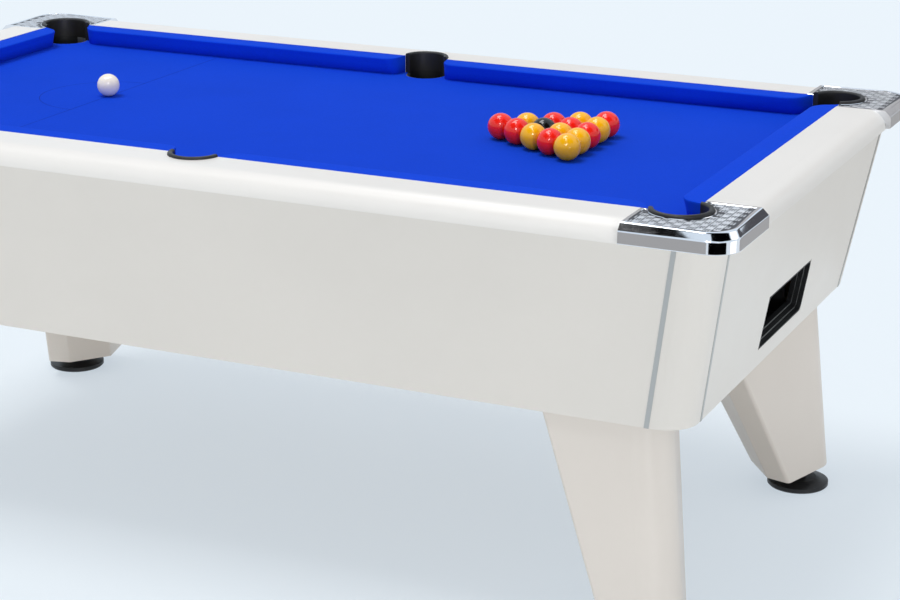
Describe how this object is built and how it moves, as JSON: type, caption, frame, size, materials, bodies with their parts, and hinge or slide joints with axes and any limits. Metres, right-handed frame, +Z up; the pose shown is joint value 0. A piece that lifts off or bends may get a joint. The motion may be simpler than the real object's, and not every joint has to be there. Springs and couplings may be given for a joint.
{
  "type": "pool table",
  "caption": "Slate-bed pool table with lift-up top, leaning white cabinet, chrome corner castings, splayed legs, ball return window, cue ball and racked balls.",
  "frame": {"origin": "on the floor under the middle of the table", "axes": "+X along the length towards the ball return window, +Y across the width towards the hinges of the top, +Z up"},
  "size_m": [2.1538, 1.2394, 0.8532],
  "materials": {
    "white_laminate": "satin white laminate on board",
    "leg_laminate": "satin white laminate on board",
    "rail_laminate": "satin white laminate, post-formed over the outer edge",
    "trim_aluminium": "satin anodised strip",
    "birch_ply": "sanded birch plywood",
    "softwood": "planed softwood",
    "zinc_steel": "bright zinc plate",
    "lock_chrome": "bright chrome",
    "black_moulding": "fine textured black moulding",
    "slate_stone": "honed slate",
    "bed_cloth": "blue napped wool cloth",
    "cushion_cloth": "blue napped wool cloth over rubber",
    "pocket_rubber": "moulded dark grey rubber",
    "cast_chrome": "bright plated casting with a woven relief on top",
    "foot_black": "black moulded foot on a steel stem",
    "ball_red": "polished resin",
    "ball_yellow": "polished resin",
    "ball_black": "polished resin",
    "ball_ivory": "polished resin"
  },
  "bodies": {
    "cabinet": {"back_panel": "white_laminate", "front_panel": "white_laminate", "window_end_panel": "white_laminate", "lock_end_panel": "white_laminate", "corner_post_back_right": "white_laminate", "corner_post_back_left": "white_laminate", "corner_post_front_right": "white_laminate", "corner_post_front_left": "white_laminate", "corner_trims": "trim_aluminium", "cabinet_floor": "birch_ply", "corner_blocks": "softwood", "leg_back_right": "leg_laminate", "leg_back_left": "leg_laminate", "leg_front_right": "leg_laminate", "leg_front_left": "leg_laminate", "leg_plates": "zinc_steel", "leg_bolts": "zinc_steel", "window_bezel": "black_moulding", "window_lines": "trim_aluminium", "ball_tray": "black_moulding", "side_ball_runs": "black_moulding", "end_ball_runs": "black_moulding", "hinge_fixed_leaves": "zinc_steel", "hinge_pins": "zinc_steel", "stay_bracket": "zinc_steel", "lock_barrel": "lock_chrome"},
    "top": {"slate": "slate_stone", "bed_cloth": "bed_cloth", "slate_frame": "softwood", "back_rail": "rail_laminate", "front_rail": "rail_laminate", "window_end_rail": "rail_laminate", "lock_end_rail": "rail_laminate", "rail_bolts": "zinc_steel", "back_right_cushion": "cushion_cloth", "back_left_cushion": "cushion_cloth", "front_right_cushion": "cushion_cloth", "front_left_cushion": "cushion_cloth", "window_end_cushion": "cushion_cloth", "lock_end_cushion": "cushion_cloth", "corner_pocket_liners": "pocket_rubber", "middle_pocket_liners": "pocket_rubber", "pocket_sleeves": "black_moulding", "corner_cap_back_right": "cast_chrome", "corner_cap_back_left": "cast_chrome", "corner_cap_front_right": "cast_chrome", "corner_cap_front_left": "cast_chrome", "hinge_lift_leaves": "zinc_steel", "lock_keeper": "zinc_steel"},
    "stay": {"prop_stay": "zinc_steel"},
    "lock": {"lock_cam": "zinc_steel"},
    "foot_back_right": {"levelling_foot_back_right": "foot_black"},
    "foot_back_left": {"levelling_foot_back_left": "foot_black"},
    "foot_front_right": {"levelling_foot_front_right": "foot_black"},
    "foot_front_left": {"levelling_foot_front_left": "foot_black"},
    "red_balls": {"red_balls": "ball_red"},
    "yellow_balls": {"yellow_balls": "ball_yellow"},
    "black_ball": {"black_ball": "ball_black"},
    "cue_ball": {"cue_ball": "ball_ivory"}
  },
  "joints": [
    {"name": "top_lift", "type": "hinge", "parent": "cabinet", "child": "top", "pos_m": [0, 0.59005, 0.793], "axis": [-1, 0, 0], "range_deg": [0, 60]},
    {"name": "stay_swing", "type": "hinge", "parent": "cabinet", "child": "stay", "pos_m": [0.989, 0.40005, 0.7005], "axis": [-1, 0, 0], "range_deg": [0, 80]},
    {"name": "lock_turn", "type": "hinge", "parent": "cabinet", "child": "lock", "pos_m": [-0.994, 0, 0.7645], "axis": [-1, 0, 0], "range_deg": [0, 90]},
    {"name": "foot_screw_back_right", "type": "slide", "parent": "cabinet", "child": "foot_back_right", "axis": [0, 0, -1], "range_m": [0, 0.025]},
    {"name": "foot_screw_back_left", "type": "slide", "parent": "cabinet", "child": "foot_back_left", "axis": [0, 0, -1], "range_m": [0, 0.025]},
    {"name": "foot_screw_front_right", "type": "slide", "parent": "cabinet", "child": "foot_front_right", "axis": [0, 0, -1], "range_m": [0, 0.025]},
    {"name": "foot_screw_front_left", "type": "slide", "parent": "cabinet", "child": "foot_front_left", "axis": [0, 0, -1], "range_m": [0, 0.025]},
    {"name": "red_balls_lift", "type": "slide", "parent": "top", "child": "red_balls", "axis": [0, 0, 1], "range_m": [0, 0.2]},
    {"name": "yellow_balls_lift", "type": "slide", "parent": "top", "child": "yellow_balls", "axis": [0, 0, 1], "range_m": [0, 0.2]},
    {"name": "black_ball_lift", "type": "slide", "parent": "top", "child": "black_ball", "axis": [0, 0, 1], "range_m": [0, 0.2]},
    {"name": "cue_ball_lift", "type": "slide", "parent": "top", "child": "cue_ball", "axis": [0, 0, 1], "range_m": [0, 0.2]}
  ],
  "couplings": [
    {"joint": "stay_swing", "follows": "top_lift", "ratio": 1.3333}
  ]
}
